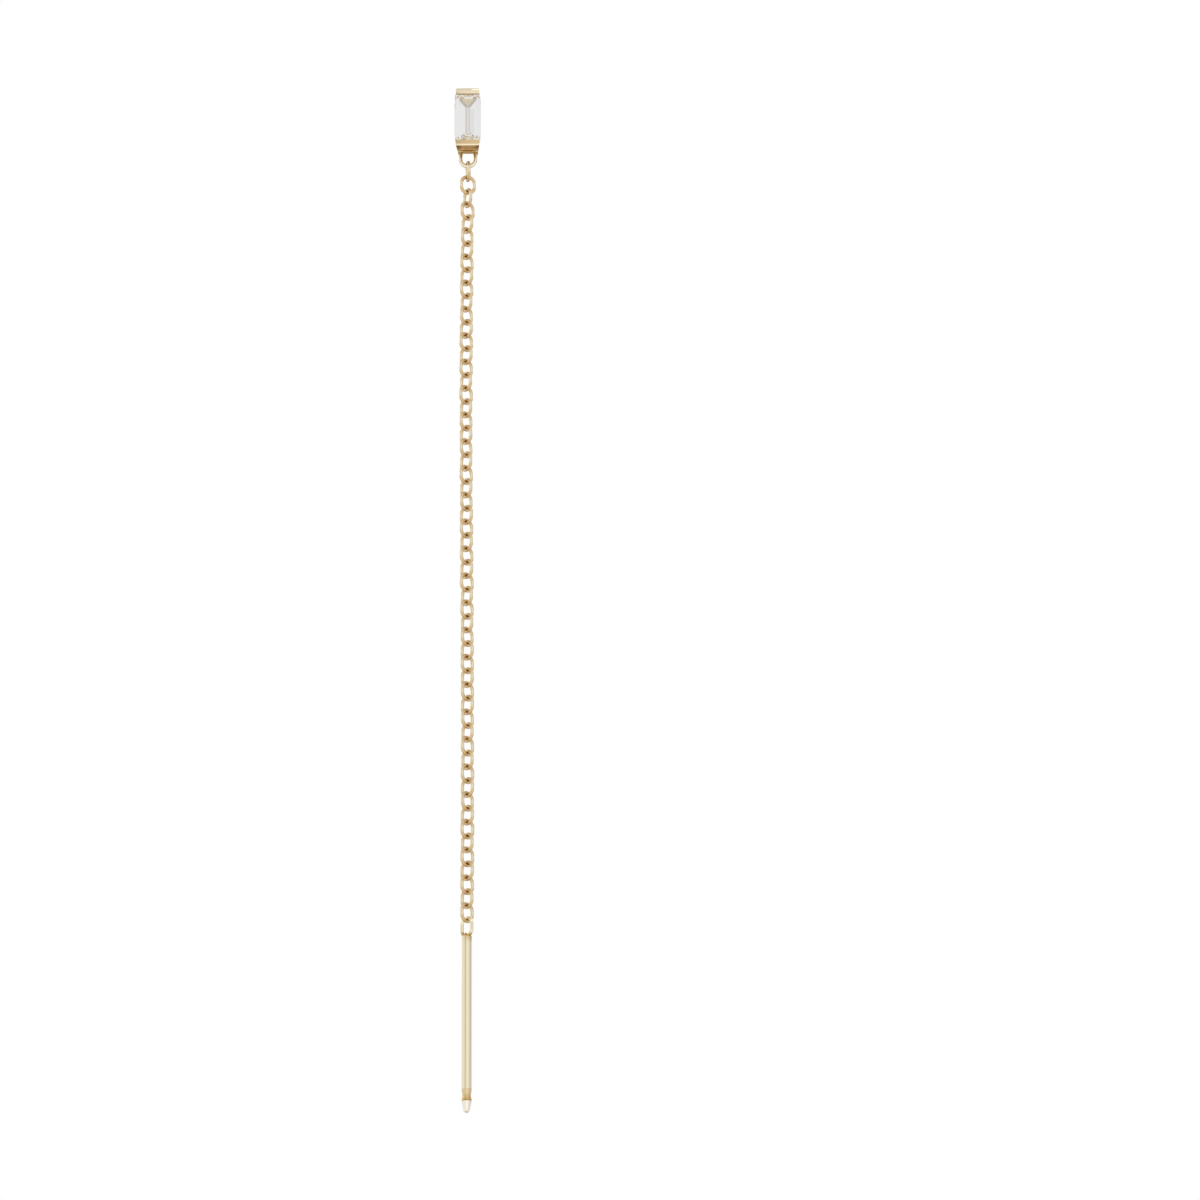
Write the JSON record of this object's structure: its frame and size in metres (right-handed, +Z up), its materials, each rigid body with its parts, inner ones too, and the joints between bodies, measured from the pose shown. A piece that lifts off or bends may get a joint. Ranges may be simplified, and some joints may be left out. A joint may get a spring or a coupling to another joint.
{
  "type": "threader earring",
  "caption": "Threader earring: a baguette stone held by two end bars, a fine cable chain and a straight ear post with a friction groove and a rounded tip.",
  "frame": {"origin": "centre of the setting's back, where it lies on the ear lobe", "axes": "+Z up along the hanging chain, the stone's table faces -Y, +X to the viewer's right"},
  "size_m": [0.002, 0.0023, 0.0792],
  "materials": {
    "polished_gold": "cast and polished 14 carat yellow gold",
    "clear_stone": "polished step-cut facets",
    "chain_gold": "soldered and tumbled yellow gold wire",
    "post_gold": "drawn and polished yellow gold wire"
  },
  "bodies": {
    "hanger": {"setting": "polished_gold", "baguette": "clear_stone", "chain": "chain_gold"},
    "post": {"threader_post": "post_gold"}
  },
  "joints": [
    {"name": "post_swing", "type": "hinge", "parent": "hanger", "child": "post", "pos_m": [0, -0.0002, -0.06267], "axis": [0.7071, 0.7071, 0], "range_deg": [-75, 75]}
  ]
}
